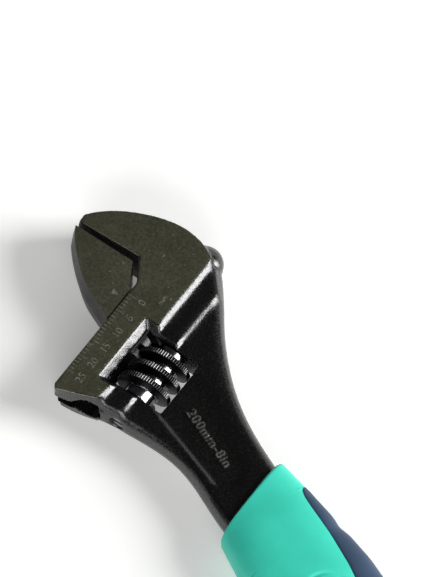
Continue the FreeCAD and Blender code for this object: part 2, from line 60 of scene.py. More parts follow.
# %% Head frame and handle frame
joints = {joint["name"]: joint for joint in frame["joints"]}
mounts = {mount["name"]: mount for mount in frame["record"]["mounts"]}
HEAD_X = -Vector(joints["jaw_slide"]["axis"])
HEAD_Y = Vector((0, 0, 1)).cross(HEAD_X)
HEAD_AXES = np.array([HEAD_X, HEAD_Y, (0, 0, 1)])
WORM_PLACE = (-21.7, -8.1)    # of the worm's centre in the head frame, mm
worm_centre = Vector(joints["worm_spin"]["pos_m"])
head_origin = worm_centre - HEAD_X * (WORM_PLACE[0] * MM) - HEAD_Y * (WORM_PLACE[1] * MM)
HOLE_ALONG = 140.0            # hang hole, mm along the handle
hang_hole = Vector(mounts["hang_hole"]["pos_m"])


def head(x, y, z=0.0):
    """World place of a head-frame point given in millimetres."""
    return head_origin + (HEAD_X * x + HEAD_Y * y + Vector((0, 0, z))) * MM


def to_head(points):
    """Head-frame millimetres of an array of world points."""
    offset = (points - np.array(head_origin)) / MM
    return offset @ HEAD_AXES.T


HEAD_LEAN = math.atan2(HEAD_X.y, HEAD_X.x)    # from the handle, about Z
print("head origin", [round(v / MM, 2) for v in head_origin])

# %% [markdown]
# ## Small tools
# Colours are written as sRGB hex, the way a paint chart gives them, and turned to the linear
# values that the shader works in. One function adds a shader node with its settings and links.

# %% Colour and node helpers
def linear(hex_colour):
    """Linear RGBA of an sRGB hex colour."""
    channels = [int(hex_colour[i:i + 2], 16) / 255 for i in (1, 3, 5)]
    return [c / 12.92 if c <= 0.04045 else ((c + 0.055) / 1.055) ** 2.4 for c in channels] + [1.0]


def join(tree, node, **links):
    """Sets inputs of a node, by name or as i and a number, each to a value or a socket."""
    for name, value in links.items():
        numbered = name[0] == "i" and name[1:].isdigit()
        socket = node.inputs[int(name[1:]) if numbered else name.replace("_", " ")]
        if isinstance(value, bpy.types.NodeSocket):
            tree.links.new(value, socket)
        else:
            socket.default_value = value


def add(tree, kind, settings=None, **links):
    """Adds a node and joins it. Settings are its attributes, or the stops of a colour ramp."""
    node = tree.nodes.new(kind)
    settings = dict(settings or {})
    for stop, (position, colour) in enumerate(settings.pop("stops", [])):
        elements = node.color_ramp.elements
        element = elements[stop] if stop < len(elements) else elements.new(position)
        element.position = position
        element.color = linear(colour) if isinstance(colour, str) else colour
    for name, value in settings.items():
        setattr(node, name, value)
    join(tree, node, **links)
    return node


def new_material(name):
    """An empty material with its tree, its Principled shader and its object-space coordinates."""
    material = bpy.data.materials.new(name)
    material.use_nodes = True
    tree = material.node_tree
    shader = tree.nodes["Principled BSDF"]
    place = tree.nodes.new("ShaderNodeTexCoord").outputs["Object"]
    return material, tree, shader, place


def per_mm(size):
    """Texture scale, in cycles a metre, of a pattern that repeats every size millimetres."""
    return 1.0 / (size * MM)


# %% [markdown]
# ## Finish: black oxide over a drop forging
# The frame comes from a closed die, is shot-blasted and then blackened in hot salts. That gives
# the eye a nearly black, faintly green skin with a slight oily gloss, over a fine orange-peel of
# scale pits about 0.4 mm apart. Iron oxide isn't a clean metal any more, so the shader is part
# metal, with a thin gloss over it, and the pits are bump.

# %% Black oxide on forged steel
def black_oxide_forging():
    material, tree, shader, place = new_material("black_oxide_forging")
    pits = add(tree, "ShaderNodeTexNoise", Vector=place, Scale=per_mm(0.45), Detail=3.0, Roughness=0.6)
    waves = add(tree, "ShaderNodeTexNoise", Vector=place, Scale=per_mm(3.0), Detail=2.0)
    tint = add(tree, "ShaderNodeValToRGB", Fac=waves.outputs["Fac"],
               settings={"stops": [(0.3, "#030403"), (0.7, "#070907")]}).outputs["Color"]
    specks = add(tree, "ShaderNodeValToRGB", Fac=pits.outputs["Fac"],
                 settings={"stops": [(0.58, (0, 0, 0, 1)), (0.80, (1, 1, 1, 1))]}).outputs["Color"]
    colour = add(tree, "ShaderNodeMix", {"data_type": "RGBA"}, i0=specks, i6=tint, i7=linear("#20241F"))
    rough = add(tree, "ShaderNodeMapRange", Value=pits.outputs["Fac"], From_Min=0.3, From_Max=0.7,
                To_Min=0.18, To_Max=0.36)
    height = add(tree, "ShaderNodeMath", {"operation": "MULTIPLY_ADD"}, i0=waves.outputs["Fac"], i1=1.6,
                 i2=pits.outputs["Fac"])
    bump = add(tree, "ShaderNodeBump", Height=height.outputs[0], Strength=0.6, Distance=0.09 * MM)
    join(tree, shader, Base_Color=colour.outputs[2], Roughness=rough.outputs[0], Normal=bump.outputs[0],
         Metallic=0.15, Specular_IOR_Level=1.0)
    return material


forged_black = black_oxide_forging()
print("forging finish ready")

# %% [markdown]
# ## Finish: ground and blackened faces
# After forging, both faces of the head are ground flat and the whole tool is blackened, so the
# flats come out a smooth olive grey, satin rather than glossy, with short scratches from handling
# and small bright specks where the oxide is rubbed through. The scratches are stretched noise,
# about 0.25 mm wide and some 4 mm long, coarse enough to show from half a metre.

# %% Ground, blackened steel
def scratches(tree, place, turn, width, length):
    """Fine straight scratches: noise stretched along one direction in the plane."""
    turned = add(tree, "ShaderNodeMapping", Vector=place, Rotation=(0, 0, math.radians(turn)),
                 Scale=(per_mm(length), per_mm(width), per_mm(length)))
    noise = add(tree, "ShaderNodeTexNoise", Vector=turned.outputs[0], Scale=1.0, Detail=2.0)
    return noise.outputs["Fac"]


def ground_oxide(name, dark, light, bare, roughness):
    material, tree, shader, place = new_material(name)
    cloud = add(tree, "ShaderNodeTexNoise", Vector=place, Scale=per_mm(9.0), Detail=3.0)
    grain = add(tree, "ShaderNodeTexNoise", Vector=place, Scale=per_mm(0.5), Detail=3.0)
    base = add(tree, "ShaderNodeValToRGB", Fac=cloud.outputs["Fac"],
               settings={"stops": [(0.32, dark), (0.68, light)]}).outputs["Color"]
    fine = add(tree, "ShaderNodeValToRGB", Fac=grain.outputs["Fac"],
               settings={"stops": [(0.35, (0.86, 0.86, 0.86, 1)),
                                   (0.68, (1.12, 1.12, 1.1, 1))]}).outputs["Color"]
    base = add(tree, "ShaderNodeMix", {"data_type": "RGBA", "blend_type": "MULTIPLY"}, i0=1.0, i6=base,
               i7=fine).outputs[2]
    first = scratches(tree, place, 34, 0.25, 4.0)
    second = scratches(tree, place, -58, 0.25, 5.5)
    crossed = add(tree, "ShaderNodeMath", {"operation": "MAXIMUM"}, i0=first, i1=second).outputs[0]
    worn = add(tree, "ShaderNodeValToRGB", Fac=crossed,
               settings={"stops": [(0.70, (0, 0, 0, 1)), (0.80, (0.5, 0.5, 0.5, 1))]}).outputs["Color"]
    wear = add(tree, "ShaderNodeTexNoise", Vector=place, Scale=per_mm(1.6), Detail=1.0)
    specks = add(tree, "ShaderNodeValToRGB", Fac=wear.outputs["Fac"],
                 settings={"stops": [(0.715, (0, 0, 0, 1)),
                                     (0.76, (0.55, 0.55, 0.55, 1))]}).outputs["Color"]
    marks = add(tree, "ShaderNodeMath", {"operation": "MAXIMUM"}, i0=worn, i1=specks).outputs[0]
    colour = add(tree, "ShaderNodeMix", {"data_type": "RGBA"}, i0=marks, i6=base, i7=linear(bare))
    rough = add(tree, "ShaderNodeMapRange", Value=grain.outputs["Fac"], From_Min=0.3, From_Max=0.7,
                To_Min=roughness - 0.05, To_Max=roughness + 0.07)
    bump = add(tree, "ShaderNodeBump", Height=crossed, Strength=0.25, Distance=0.02 * MM)
    join(tree, shader, Base_Color=colour.outputs[2], Roughness=rough.outputs[0], Normal=bump.outputs[0],
         Metallic=0.85)
    return material


ground_face = ground_oxide("ground_oxide_face", "#656552", "#737361", "#B9B9A6", 0.42)
# dark milled oxide for the sides and jaw faces, made darker still as painted shade for the gap between the jaws
milled_side_and_shade = ground_oxide("milled_oxide_side_and_painted_shade", "#2E2E30", "#3A3A3C", "#66665F", 0.36)
satin_back = ground_oxide("linished_oxide_back", "#252625", "#313230", "#54544F", 0.40)
print("ground finishes ready")

# %% [markdown]
# ## From CAD solid to forging
# A drop forging has no sharp edges: metal flows into the die's rounded corners, and the grinding
# wheel comes after. One way is to fillet every edge in CAD. Here the solid is turned into an even
# skin of small cells with a voxel remesh, and then relaxed: strongly where the die shaped it,
# hardly at all where a cutter or the grinding wheel did. So steps and creases turn soft while the
# ground faces, jaw faces and window stay crisp.

# %% Copy of a CAD node
WELD = 0.002                  # mm


def piece_from_mesh(name, mesh):
    piece = bpy.data.objects.new(name, mesh)
    bpy.context.scene.collection.objects.link(piece)
    return piece


def welded_copy(node, name):
    """A closed copy of a CAD node's mesh, with its split vertices joined again."""
    mesh = frame["nodes"][node].data.copy()
    cells = bmesh.new()
    cells.from_mesh(mesh)
    bmesh.ops.remove_doubles(cells, verts=cells.verts, dist=WELD * MM)
    cells.to_mesh(mesh)
    cells.free()
    mesh.materials.clear()
    return piece_from_mesh(name, mesh)


# %% Voxel skin
def voxel_skin(piece, cell):
    """Replaces the mesh by an even voxel skin of the given cell size in millimetres."""
    remesh = piece.modifiers.new("skin", "REMESH")
    remesh.mode = "VOXEL"
    remesh.voxel_size = cell * MM
    evaluated = piece.evaluated_get(bpy.context.evaluated_depsgraph_get())
    skin = bpy.data.meshes.new_from_object(evaluated)
    piece.modifiers.clear()
    piece.data = skin
    return piece


# %% [markdown]
# Relaxing is a blur for shapes: each vertex moves half way to the middle of its neighbours, over
# and over. A softness from 0 to 1 for each vertex says how much of that it does, which a smooth
# modifier can't vary without a painted group. Numpy does it for all vertices at once.

# %% Relax a skin
def vertex_array(mesh):
    points = np.empty(len(mesh.vertices) * 3)
    mesh.vertices.foreach_get("co", points)
    return points.reshape(-1, 3)


def relax(mesh, softness, rounds):
    """Moves each vertex towards the middle of its neighbours, by its own softness."""
    points = vertex_array(mesh)
    edges = np.empty(len(mesh.edges) * 2, dtype=np.int64)
    mesh.edges.foreach_get("vertices", edges)
    a, b = edges.reshape(-1, 2).T
    count = np.bincount(np.concatenate([a, b]), minlength=len(points))[:, None]
    for _ in range(rounds):
        total = np.zeros_like(points)
        for axis in range(3):
            total[:, axis] += np.bincount(a, points[b, axis], len(points))
            total[:, axis] += np.bincount(b, points[a, axis], len(points))
        points += 0.5 * softness[:, None] * (total / count - points)
    mesh.vertices.foreach_set("co", points.ravel())
    mesh.update()


# %% [markdown]
# One forging has several finishes on it, and no seams between them. So the faces of one mesh get
# different materials, chosen by where each face lies and which way it looks.

# %% Finishes by place
def face_centres(mesh):
    centres = np.empty(len(mesh.polygons) * 3)
    normals = np.empty(len(mesh.polygons) * 3)
    mesh.polygons.foreach_get("center", centres)
    mesh.polygons.foreach_get("normal", normals)
    return centres.reshape(-1, 3), normals.reshape(-1, 3)


def finish_by_place(piece, materials, choose):
    """Gives each face one of the materials. choose turns head-frame places and normals to indices."""
    for material in materials:
        piece.data.materials.append(material)
    centres, normals = face_centres(piece.data)
    indices = choose(to_head(centres), normals @ HEAD_AXES.T)
    piece.data.polygons.foreach_set("material_index", indices.astype(np.int32))
    piece.data.shade_smooth()


# %% [markdown]
# ## The forged frame
# One piece holds the fixed jaw, the channel, the worm's window and the handle. In the head, what
# lies higher than 5.6 mm from the parting plane was ground, and the jaw faces, flange edge, window
# and channel were cut. Everything else is as forged. These zones could be painted by hand; a few
# limits in the head frame do the same, and say what each one is.

# %% Zones of the frame
HANDLE_START = (-22.35, -17.1, 0)             # of the handle's middle line, in the head frame, mm
CUT_SOFTNESS = 0.03
BORDER_SOFTNESS = 0.8


def cut_by_tool(place):
    """True where the frame was milled, broached or drilled, from head-frame places."""
    x, y, z = place.T
    mouth = (y > 8.2) & (x < 1.4)                             # the fixed jaw's face and the flange edge
    window = (x > -32.0) & (x < -11.0) & (y > -16.6) & (y < 1.6)
    channel = (abs(z) < 4.4) & (abs(y) < 4.4) & (x < 12)      # a round bore for the rack
    slot = (abs(z) < 2.6) & (y > 0) & (x < -4)                # opens the bore for the jaw's stem
    return mouth | window | channel | slot


def across_web(place):
    """Millimetres across the handle from its middle line, from head-frame places."""
    return (place - HANDLE_START) @ (math.cos(HEAD_LEAN), -math.sin(HEAD_LEAN), 0)


def frame_softness(place):
    """How freely the skin relaxes: most at the forged steps, least where a tool has cut."""
    x, y, z = place.T
    across = across_web(place)
    panel_edge = (y < -12.5) & (abs(z) > 2.8)
    left_border = panel_edge & (across > -8.6) & (across < -3.5)
    soft = np.where(left_border, BORDER_SOFTNESS, 1.0)
    ground = (abs(z) > 5.55) & (y > -2.3)
    return np.where(ground | cut_by_tool(place), CUT_SOFTNESS, soft)


def handle_side(place):
    """Softness of the handle's rounded sides, clear of the head and of the panel."""
    x, y, z = place.T
    across = across_web(place)
    in_panel = (across > -8.6) & (across < 2.0)
    fade = np.clip((-11.5 - y) / 4.0, 0, 1)
    return np.where(in_panel | cut_by_tool(place), 0.0, fade)


def frame_finish(place, normal):
    x, y, z = place.T
    flat = np.where(y < 3.0, 0.96, 0.85)      # the forged slope starts right at the face's lower edge
    ground = (abs(z) > 5.75) & (abs(normal[:, 2]) > flat)
    # the fixed jaw's face and the flange edge get the milled finish that carries painted shade for the gap
    jaw_side = (y > 8.3) & (x < 1.2) & (abs(normal[:, 2]) < 0.6)
    return np.where(ground, 1, np.where(jaw_side, 2, 0))


# %% [markdown]
# The lower flange's outer corner is linished back on a belt, so it is shorter than the upper one.
# It could be a cut, but a shift of the vertices that fades out along and across leaves no edge.

# %% Lower flange corner
LOWER_SETBACK = 2.4           # mm at the corner


def trim_lower_corner(mesh):
    """Sets the lower flange's outer corner back, as if linished off on a belt."""
    points = vertex_array(mesh)
    x, y, z = to_head(points).T
    outer = np.clip((-34.5 - x) / 5.7, 0, 1)
    below = np.clip((-1.9 - z) / 0.6, 0, 1)
    along = np.clip((y + 3.0) / 11.5, 0, 1)
    shift = LOWER_SETBACK * outer * below * along
    points += shift[:, None] * np.array(HEAD_X) * MM
    mesh.vertices.foreach_set("co", points.ravel())
    mesh.update()


# %% Forged frame
SKIN_CELL = 0.3
FORGED_ROUNDS = 36            # of relaxing, for radii near 1 mm
SIDE_ROUNDS = 60
wrench_frame = voxel_skin(welded_copy("wrench_body", "forged_frame"), SKIN_CELL)
trim_lower_corner(wrench_frame.data)
relax(wrench_frame.data, frame_softness(to_head(vertex_array(wrench_frame.data))), FORGED_ROUNDS)
relax(wrench_frame.data, handle_side(to_head(vertex_array(wrench_frame.data))), SIDE_ROUNDS)
finish_by_place(wrench_frame, [forged_black, ground_face, milled_side_and_shade], frame_finish)
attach(wrench_frame, "frame")
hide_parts("wrench_body")
print("forged frame", len(wrench_frame.data.polygons), "faces")

# %% [markdown]
# ## The movable jaw
# It is forged too, but all of it is then ground or milled: two flat faces, the jaw face, the seat
# on the flange, the round rack and even its curved back. So its edges stay sharp, and the CAD
# solid's own mesh serves, split into its finishes by where each face lies.

# %% Movable jaw
def jaw_finish(place, normal):
    x, y, z = place.T
    ground = (abs(z) > 5.9) & (abs(normal[:, 2]) > 0.85)
    back = (y > 8.9) & (normal[:, 0] < 0.3) & (abs(normal[:, 2]) < 0.7)
    # the jaw face, seat and rack get the same milled finish with its painted shade
    return np.where(ground, 1, np.where(back, 0, 2))


movable_jaw = welded_copy("movable_jaw", "sliding_jaw")
finish_by_place(movable_jaw, [satin_back, ground_face, milled_side_and_shade], jaw_finish)
movable_jaw.data.set_sharp_from_angle(angle=math.radians(25))
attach(movable_jaw, "jaw")
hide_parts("movable_jaw")
print("movable jaw", len(movable_jaw.data.polygons), "faces")

# %% [markdown]
# ## The knurled worm
# A knurling wheel is pressed round the bar before the thread is cut, so the knurl survives only on
# the thread's crests: about 85 fine ridges, half a millimetre apart. A bump map would leave the
# outline smooth, so the ridges are real. The surface is a grid: along the worm by round it, and
# the radius at each point comes from the thread's profile and the knurl. Three finishes: black
# flanks, ridge tops in lighter grey as a painted highlight, and roots in bright steel as a painted glint.

# %% Two-tone steels
def two_tone_steel(name, grain, dark, light, metallic, roughness):
    """Steel in two close shades, given as ramp stops, over a grain of so many millimetres."""
    material, tree, shader, place = new_material(name)
    noise = add(tree, "ShaderNodeTexNoise", Vector=place, Scale=per_mm(grain), Detail=2.0)
    colour = add(tree, "ShaderNodeValToRGB", {"stops": [dark, light]}, Fac=noise.outputs["Fac"])
    join(tree, shader, Base_Color=colour.outputs["Color"], Metallic=metallic, Roughness=roughness)
    return material


# turned, then blackened: nearly black flanks with a soft gloss
turned_oxide = two_tone_steel("turned_oxide_steel", 0.35, (0.3, "#121215"), (0.72, "#222226"), 0.9, 0.37)
# knurl ridge tops in lighter grey, dull on top: a painted highlight for the ridges catching the light
knurl_top_highlight = two_tone_steel("knurl_top_painted_highlight_steel", 0.6, (0.3, "#555552"), (0.7, "#82817C"), 1.0, 0.45)
# roots in bright smooth steel: a painted highlight for the glints in the thread's roots
root_glint = two_tone_steel("root_painted_glint_steel", 0.8, (0.3, "#77777C"), (0.7, "#96969A"), 1.0, 0.2)
print("worm finishes ready")

# %% Worm sizes, mm
WORM_RADIUS = 6.75
WORM_ROOT = 3.9
WORM_LENGTH = 15.4
WORM_PITCH = 4.0
OUTER_HUB = 2.3               # plain ends, without thread
INNER_HUB = 1.1
CREST_HALF = 0.65
FLANK_RUN = (WORM_RADIUS - WORM_ROOT) * math.tan(math.radians(14.5))
CREST_AT_TOP = -21.5          # head-frame X of a crest on top of the worm
KNURL_COUNT = 62              # the real one has about 85, which are too fine to see
KNURL_DEPTH = 0.26
WORM_BORE = 2.03
POCKET_RADIUS = 3.15
POCKET_DEPTH = 6.0
WORM_INNER = -WORM_PLACE[0] - WORM_LENGTH / 2            # along the opening direction
WORM_OUTER = WORM_INNER + WORM_LENGTH


# %% [markdown]
# A single-start thread climbs one pitch in each turn. So the distance from the nearest crest, at a
# place along the worm and an angle round it, is a sawtooth of both, and the flat crest, the sloping
# flanks and the root all follow from that distance.

# %% Thread and knurl
def crest_offset(along, angle):
    """Distance along the worm from the nearest crest's middle."""
    crest_start = -CREST_AT_TOP - WORM_PITCH / 4
    offset = along - crest_start - WORM_PITCH * angle / (2 * math.pi)
    return np.abs((offset + WORM_PITCH / 2) % WORM_PITCH - WORM_PITCH / 2)


def worm_radius(along, angle):
    """Radius at a distance along the opening direction, and an angle from behind over the top."""
    offset = crest_offset(along, angle)
    rise = np.clip((CREST_HALF + FLANK_RUN - offset) / FLANK_RUN, 0, 1)
    on_crest = offset < CREST_HALF + 0.02
    knurl = KNURL_DEPTH * (0.5 - 0.5 * np.cos(KNURL_COUNT * angle)) * on_crest
    return WORM_ROOT + (WORM_RADIUS - WORM_ROOT) * rise - knurl


# %% Pieces from a grid of points
def piece_from_points(name, points, faces):
    mesh = bpy.data.meshes.new(name)
    mesh.from_pydata(points, [], faces)
    return piece_from_mesh(name, mesh)


def grid_faces(rows, columns, closed_rows=False):
    """Quads of a grid whose columns close round. closed_rows also joins the last row to the first."""
    last = rows if closed_rows else rows - 1
    quads = []
    for r in range(last):
        for c in range(columns):
            d = (c + 1) % columns
            s = (r + 1) % rows
            quads.append((r * columns + c, r * columns + d, s * columns + d, s * columns + c))
    return quads


# %% Worm mesh
EDGE_BREAK = 0.25             # small bevel where the plain ends meet the end faces
RIDGE_STEPS = 6               # columns to each ridge
THREAD_ROWS = 100
THREAD_END = 0.01             # mm over which the thread stops at a plain end


def knurled_worm():
    columns = KNURL_COUNT * RIDGE_STEPS
    angle = np.arange(columns) * 2 * math.pi / columns
    threaded = np.linspace(WORM_INNER + INNER_HUB, WORM_OUTER - OUTER_HUB, THREAD_ROWS)
    plain = np.full(columns, WORM_ROOT)
    rings = [(WORM_INNER, plain - EDGE_BREAK), (WORM_INNER + EDGE_BREAK, plain),
             (threaded[0] - THREAD_END, plain)]
    rings += [(a, worm_radius(a, angle)) for a in threaded]
    rings += [(threaded[-1] + THREAD_END, plain), (WORM_OUTER - EDGE_BREAK, plain),
              (WORM_OUTER, plain - EDGE_BREAK)]
    rings.append((WORM_OUTER, np.full(columns, POCKET_RADIUS)))
    rings.append((WORM_OUTER - POCKET_DEPTH, np.full(columns, POCKET_RADIUS)))
    rings.append((WORM_OUTER - POCKET_DEPTH, np.full(columns, WORM_BORE)))
    rings.append((WORM_INNER, np.full(columns, WORM_BORE)))
    points = []
    for a, radius in rings:
        for turn, r in zip(angle, radius):
            points.append(head(-a, WORM_PLACE[1] - r * math.cos(turn), r * math.sin(turn)))
    return piece_from_points("knurled_worm", points, grid_faces(len(rings), columns, closed_rows=True))


def face_outwards(piece):
    cells = bmesh.new()
    cells.from_mesh(piece.data)
    bmesh.ops.recalc_face_normals(cells, faces=cells.faces)
    cells.to_mesh(piece.data)
    cells.free()


# %% Worm in place
worm = knurled_worm()
face_outwards(worm)
for finish in (turned_oxide, knurl_top_highlight, root_glint):
    worm.data.materials.append(finish)
middles = to_head(face_centres(worm.data)[0])
from_axis = np.hypot(middles[:, 1] - WORM_PLACE[1], middles[:, 2])
# ridge tops and roots take the lighter steels that carry the painted highlights
ridge_top = from_axis > WORM_RADIUS - 0.45 * KNURL_DEPTH
root = from_axis < WORM_ROOT + 0.35
zone = np.where(ridge_top, 1, np.where(root, 2, 0))
worm.data.polygons.foreach_set("material_index", zone.astype(np.int32))
worm.data.shade_smooth()
worm.data.set_sharp_from_angle(angle=math.radians(32))
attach(worm, "worm")
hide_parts("worm")
print("worm", len(worm.data.polygons), "faces")

# %% [markdown]
# ## Axle and spring
# Both stay as the CAD made them, a turned rod and a coil of drawn wire, because a round bar needs
# nothing more. Drawing through a die leaves bright steel with fine lines along it, about 0.1 mm
# apart, so its shade and gloss follow stretched noise.

# %% Bright drawn steel
def drawn_steel():
    material, tree, shader, place = new_material("bright_drawn_steel")
    lay = scratches(tree, place, 22.5, 0.12, 6.0)
    colour = add(tree, "ShaderNodeValToRGB", Fac=lay,
                 settings={"stops": [(0.35, "#85868A"), (0.65, "#A9AAAE")]}).outputs["Color"]
    rough = add(tree, "ShaderNodeMapRange", Value=lay, From_Min=0.3, From_Max=0.7,
                To_Min=0.22, To_Max=0.38)
    join(tree, shader, Base_Color=colour, Roughness=rough.outputs[0], Metallic=1.0)
    return material


bright_steel = drawn_steel()
for node in ("axle_screw", "worm_spring"):
    cad_mesh = frame["nodes"][node].data
    cad_mesh.materials.clear()
    cad_mesh.materials.append(bright_steel)
print("axle and spring finished")

# %% [markdown]
# ## Stamped scale
# The maker stamps a millimetre scale into the ground face after grinding: fine ticks along the
# flange edge, longer ones each 5 mm, upright numbers, and a small arrowhead on the movable jaw.
# A stamp throws up a bright burr, so each mark is a thin ridge of bare steel let into the face.

# %% Prisms on the ground face
HEAD_HALF = 6.0               # mm from the parting plane to the ground face
MARK_PROUD = 0.02
MARK_SUNK = 0.12


def prism(cells, corners):
    """Adds a thin upright prism to a bmesh, over head-frame corners on the ground face."""
    base, top = HEAD_HALF - MARK_SUNK, HEAD_HALF + MARK_PROUD
    ring = [cells.verts.new(head(x, y, base)) for x, y in corners]
    lid = [cells.verts.new(head(x, y, top)) for x, y in corners]
    cells.faces.new(ring[::-1])
    cells.faces.new(lid)
    for i in range(len(corners)):
        j = (i + 1) % len(corners)
        cells.faces.new((ring[i], ring[j], lid[j], lid[i]))


def mesh_piece(name, cells):
    """Turns a bmesh into a piece."""
    mesh = bpy.data.meshes.new(name)
    cells.to_mesh(mesh)
    cells.free()
    return piece_from_mesh(name, mesh)


# %% [markdown]
# Numbers are a text curve with a little extrusion, turned into a mesh: Blender's own plain font
# needs no file, and a curve is far less work than drawing each figure.

# %% Lettering
LETTER_WELD = 0.001           # mm; joins the letters' caps to their sides


def lettering(text, size, place, turn, depth, spread=1.0, weight=0.0):
    """A mesh of upright characters, centred on a world place and turned about Z."""
    curve = bpy.data.curves.new("letters", "FONT")
    curve.body = text
    curve.size = size * MM
    curve.extrude = depth * MM / 2
    curve.align_x = "CENTER"
    curve.align_y = "CENTER"
    curve.space_character = spread
    curve.offset = weight * MM
    curve.resolution_u = 3
    carrier = bpy.data.objects.new("letters", curve)
    bpy.context.scene.collection.objects.link(carrier)
    mesh = bpy.data.meshes.new_from_object(carrier.evaluated_get(bpy.context.evaluated_depsgraph_get()))
    bpy.data.objects.remove(carrier)
    mesh.transform(Matrix.Translation(place) @ Matrix.Rotation(turn, 4, "Z"))
    return mesh


# %% Scale
SCALE_ZERO = -9.2             # head-frame X of the zero mark
FLANGE_EDGE = 8.3
NUMBER_LINE = 4.2
TICK_HALF = 0.1
SHORT_TICK, LONG_TICK = 1.3, 2.2
NUMBER_SIZE, UNIT_SIZE = 2.7, 1.9
UNIT_PLACE = (-5.6, 0.6)


def scale_marks():
    cells = bmesh.new()
    for tick in range(26):
        middle = SCALE_ZERO - tick
        low = FLANGE_EDGE - (SHORT_TICK if tick % 5 else LONG_TICK)
        left, right = middle - TICK_HALF, middle + TICK_HALF
        prism(cells, [(left, low), (right, low), (right, FLANGE_EDGE), (left, FLANGE_EDGE)])
    level = HEAD_HALF + (MARK_PROUD - MARK_SUNK) / 2
    depth = MARK_PROUD + MARK_SUNK
    for number in range(0, 30, 5):
        place = head(SCALE_ZERO - number, NUMBER_LINE, level)
        cells.from_mesh(lettering(str(number), NUMBER_SIZE, place, HEAD_LEAN, depth))
    cells.from_mesh(lettering("mm", UNIT_SIZE, head(*UNIT_PLACE, level), HEAD_LEAN, depth))
    bmesh.ops.remove_doubles(cells, verts=cells.verts, dist=LETTER_WELD * MM)
    return mesh_piece("stamped_scale", cells)


# burr of bare steel round each stamp: bright, rough, broken up where it is worn
stamped = two_tone_steel("stamped_burr_steel", 0.6, (0.38, "#7A7A6A"), (0.62, "#B8B8A8"), 0.8, 0.42)
stamped_scale = scale_marks()
stamped_scale.data.materials.append(stamped)
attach(stamped_scale, "frame")
print("scale", len(stamped_scale.data.polygons), "faces")

# %% Arrowhead on the movable jaw
ARROW_APEX = (-10.8, 10.1)
ARROW_WIDTH, ARROW_HEIGHT = 1.8, 1.9


def arrowhead():
    x, y = ARROW_APEX
    top = y + ARROW_HEIGHT
    cells = bmesh.new()
    prism(cells, [ARROW_APEX, (x + ARROW_WIDTH / 2, top), (x - ARROW_WIDTH / 2, top)])
    bmesh.ops.recalc_face_normals(cells, faces=cells.faces)
    return mesh_piece("stamped_arrowhead", cells)


pointer = arrowhead()
pointer.data.materials.append(stamped)
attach(pointer, "jaw")
print("arrowhead", len(pointer.data.polygons), "faces")

# %% [markdown]
# ## Raised size mark
# The die leaves raised characters in the handle's recessed panel. Here they say the tool's length
# in a plain face. They are letters with rounded edges, sunk a little into the panel, in a light grey
# steel that is a painted highlight for the glints on their edges, and they repeat on the other side.

# %% Raised size mark
PANEL_LEVEL = 3.1             # height of the recessed panel from the parting plane
LETTER_RISE = 0.45
LETTER_SUNK = 0.3
MARK_PLACE = (-28.4, -29.4)
MARK_SIZE = 3.4
MARK_SPREAD = 1.15
MARK_WEIGHT = 0.04            # mm added round each stroke
HANDLE_TURN = -math.pi / 2


def raised_mark(side):
    level = side * (PANEL_LEVEL + (LETTER_RISE - LETTER_SUNK) / 2)
    mesh = lettering("200mm-8in", MARK_SIZE, Vector((0, 0, 0)), 0.0, LETTER_RISE + LETTER_SUNK,
                     MARK_SPREAD, MARK_WEIGHT)
    if side < 0:
        mesh.transform(Matrix.Rotation(math.pi, 4, "X"))
    mesh.transform(Matrix.Translation(head(*MARK_PLACE, level)) @ Matrix.Rotation(HANDLE_TURN, 4, "Z"))
    return mesh


cells = bmesh.new()
for side in (1, -1):
    cells.from_mesh(raised_mark(side))
bmesh.ops.remove_doubles(cells, verts=cells.verts, dist=LETTER_WELD * MM)
size_mark = mesh_piece("raised_size_mark", cells)
soften = size_mark.modifiers.new("rounded", "BEVEL")
soften.width = 0.16 * MM
soften.segments = 2
soften.limit_method = "ANGLE"
# light grey steel: a painted highlight for the glints on the letters' rounded edges
size_mark.data.materials.append(
    two_tone_steel("letter_steel_painted_glint", 0.5, (0.35, "#62635F"), (0.65, "#C0C1BA"), 0.9, 0.3))
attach(size_mark, "frame")
print("size mark", [round(v / MM, 1) for v in size_mark.dimensions])

# %% [markdown]
# ## The moulded grip
# The grip is two shots of plastic over the steel: a soft teal rubber for the palm, and a harder
# dark slate one along both edges. It could be cut from the CAD solid, but its outline swells and
# dips, so it is drawn as a skin instead: rows along the handle, columns round it, and a rounded
# oval section whose width and thickness change along the way. The columns bunch up between the
# edges of the inlays, so each inlay's border is an exact line of the mesh. The front edge runs
# parallel to the head, so the rows start out slanting and straighten up further back.

# %% Grip sections
GRIP_REACH = 152.0
WIDTH_STATIONS = [(20, 10.6), (27, 10.9), (32, 11.7), (37, 12.4), (42, 13.0), (48, 13.7), (54, 14.4),
                  (61, 15.2), (68, 15.2), (78, 14.7), (92, 14.1), (106, 14.2), (120, 14.9), (132, 15.3),
                  (141, 14.9), (147, 13.6), (152, 12.0)]
THICK_STATIONS = [(20, 4.9), (27, 5.2), (34, 6.0), (42, 7.0), (52, 7.8), (62, 8.1), (76, 8.15),
                  (92, 8.0), (110, 8.0), (126, 8.15), (138, 8.0), (146, 7.4), (152, 6.6)]
OVAL = 2.7                    # 2 is an ellipse, and more is squarer
TAIL_START = 136.0            # mm along the handle, where the end starts to close
TAIL_POWER = 2.6


def smooth_table(stations):
    """A function that passes smoothly near the given (place, value) stations."""
    places = np.linspace(0, 160, 641)
    values = np.interp(places, *np.array(stations).T)
    kernel = np.hanning(25)
    padded = np.pad(values, 12, mode="edge")
    values = np.convolve(padded, kernel / kernel.sum(), mode="valid")
    return lambda b: np.interp(b, places, values)


grip_width = smooth_table(WIDTH_STATIONS)
grip_thickness = smooth_table(THICK_STATIONS)


def closing(b):
    """Share of the full section left towards the rounded end."""
    into_end = np.clip((b - TAIL_START) / (GRIP_REACH - TAIL_START), 0, 1)
    return (1 - into_end ** TAIL_POWER) ** (1 / TAIL_POWER)


